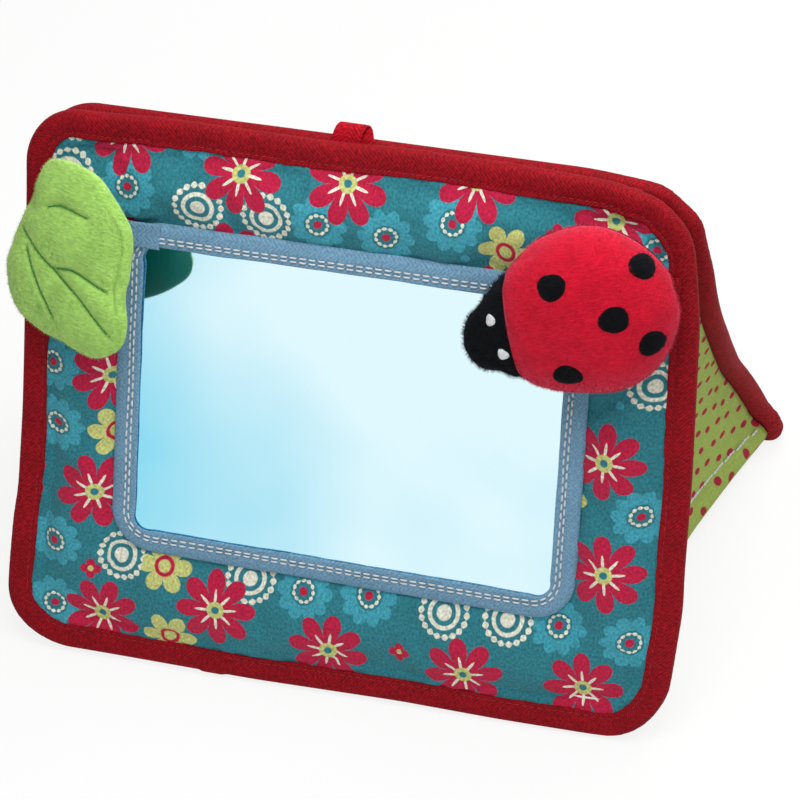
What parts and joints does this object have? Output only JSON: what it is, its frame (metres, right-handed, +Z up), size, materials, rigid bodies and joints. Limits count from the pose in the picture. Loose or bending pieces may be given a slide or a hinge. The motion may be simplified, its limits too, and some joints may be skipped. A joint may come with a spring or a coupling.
{
  "type": "fabric baby floor mirror",
  "caption": "Two bound fabric panels that stand as a tent and fold flat, with a framed soft play mirror, a stuffed leaf flap and a stuffed ladybird flap on the front.",
  "frame": {"origin": "on the floor, at the centre of the footprint", "axes": "+X to the right of someone who faces the mirror and along the ridge, +Y from the front panel to the back panel, +Z up"},
  "size_m": [0.288, 0.1952, 0.2299],
  "materials": {
    "printed_cotton": "woven, teal ground with a printed floral pattern",
    "red_grosgrain": "ribbed woven tape",
    "lime_cotton": "woven, lime ground with small crimson dots",
    "polyester_wadding": "loose fibre",
    "stiffener_sheet": "smooth",
    "mirror_film": "soft plastic mirror",
    "blue_webbing": "woven webbing",
    "white_thread": "stitched thread",
    "green_thread": "satin stitch",
    "lime_plush": "short velour pile",
    "green_satin": "satin",
    "red_plush": "short velour pile",
    "black_plush": "plush pile"
  },
  "bodies": {
    "front": {"front_cover": "printed_cotton", "front_wadding": "polyester_wadding", "front_lining": "lime_cotton", "front_binding": "red_grosgrain", "front_board": "stiffener_sheet", "mirror": "mirror_film", "mirror_frame": "blue_webbing", "frame_stitch_outer": "white_thread", "frame_stitch_inner": "white_thread", "ridge_tape": "red_grosgrain", "hanging_loop": "red_grosgrain", "gusset_right": "lime_cotton", "gusset_left": "lime_cotton"},
    "back": {"back_cover": "printed_cotton", "back_wadding": "polyester_wadding", "back_lining": "lime_cotton", "back_binding": "red_grosgrain"},
    "leaf": {"leaf_face": "lime_plush", "leaf_underside": "green_satin", "leaf_wadding": "polyester_wadding", "leaf_midrib": "green_thread", "leaf_vein_1": "green_thread", "leaf_vein_2": "green_thread", "leaf_vein_3": "green_thread", "leaf_tab": "green_satin"},
    "ladybird": {"ladybird_back": "red_plush", "ladybird_belly": "black_plush", "ladybird_head": "black_plush", "ladybird_stuffing": "polyester_wadding", "ladybird_spot_1": "black_plush", "ladybird_spot_2": "black_plush", "ladybird_spot_3": "black_plush", "ladybird_spot_4": "black_plush", "ladybird_spot_5": "black_plush", "ladybird_eye_1": "white_thread", "ladybird_eye_2": "white_thread", "ladybird_tab": "red_grosgrain"}
  },
  "joints": [
    {"name": "back_fold", "type": "hinge", "parent": "front", "child": "back", "pos_m": [0, -0.00691, 0.21687], "axis": [-1, 0, 0], "range_deg": [0, 30], "deforming": ["gusset_right", "gusset_left", "ridge_tape"]},
    {"name": "leaf_flap", "type": "hinge", "parent": "front", "child": "leaf", "pos_m": [-0.137, -0.03518, 0.17139], "axis": [0, -0.3502, -0.9367], "range_deg": [-10, 100], "stiffness_Nm_per_rad": 0.02, "springref_deg": 2.29},
    {"name": "ladybird_flap", "type": "hinge", "parent": "front", "child": "ladybird", "pos_m": [0.131, -0.02954, 0.18648], "axis": [0, 0.3502, 0.9367], "range_deg": [0, 70]}
  ]
}
